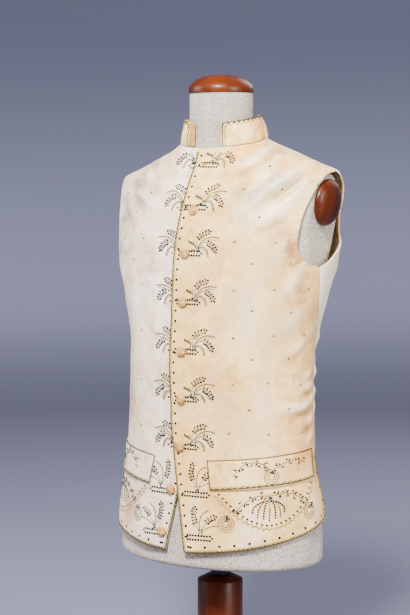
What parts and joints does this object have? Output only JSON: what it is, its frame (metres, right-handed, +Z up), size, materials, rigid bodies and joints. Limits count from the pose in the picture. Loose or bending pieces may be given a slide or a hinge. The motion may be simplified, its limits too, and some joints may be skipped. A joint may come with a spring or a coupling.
{
  "type": "embroidered waistcoat on dress form",
  "caption": "Sleeveless silk waistcoat with standing collar, pocket flaps and embroidered fronts, worn by a linen dress form on a wooden column stand.",
  "frame": {"origin": "on the floor, at the middle of the stand's flat underside, below the axis of the form's neck", "axes": "+Z up along the stand's column; -Y is the waistcoat's front; +X is the wearer's left"},
  "size_m": [0.3824, 0.3, 1.0148],
  "materials": {
    "cream_satin": "ivory silk satin, mottled with age",
    "back_cloth": "plain off-white linen and cotton",
    "brown_lining": "golden brown plain-weave lining",
    "silk_button": "gold silk thread wound over a mould",
    "form_linen": "natural linen glued over the form",
    "mahogany": "french-polished mahogany",
    "dark_steel": "dark blued steel"
  },
  "bodies": {
    "root": {"form_torso": "form_linen", "neck_cap": "mahogany", "arm_cap_left": "mahogany", "arm_cap_right": "mahogany", "stand_socket": "dark_steel", "stand_column": "mahogany", "stand_base": "mahogany", "front_left": "cream_satin", "front_left_piecing": "cream_satin", "front_right": "cream_satin", "skirt_lining_left": "brown_lining", "skirt_lining_right": "brown_lining", "back_left": "back_cloth", "back_right": "back_cloth", "armhole_facing_left": "brown_lining", "armhole_facing_right": "brown_lining", "collar": "cream_satin", "collar_lining": "brown_lining", "pocket_flap_left": "cream_satin", "pocket_flap_right": "cream_satin", "button_1": "silk_button", "button_2": "silk_button", "button_3": "silk_button", "button_4": "silk_button", "button_5": "silk_button", "button_6": "silk_button", "button_7": "silk_button", "button_8": "silk_button"}
  },
  "joints": []
}
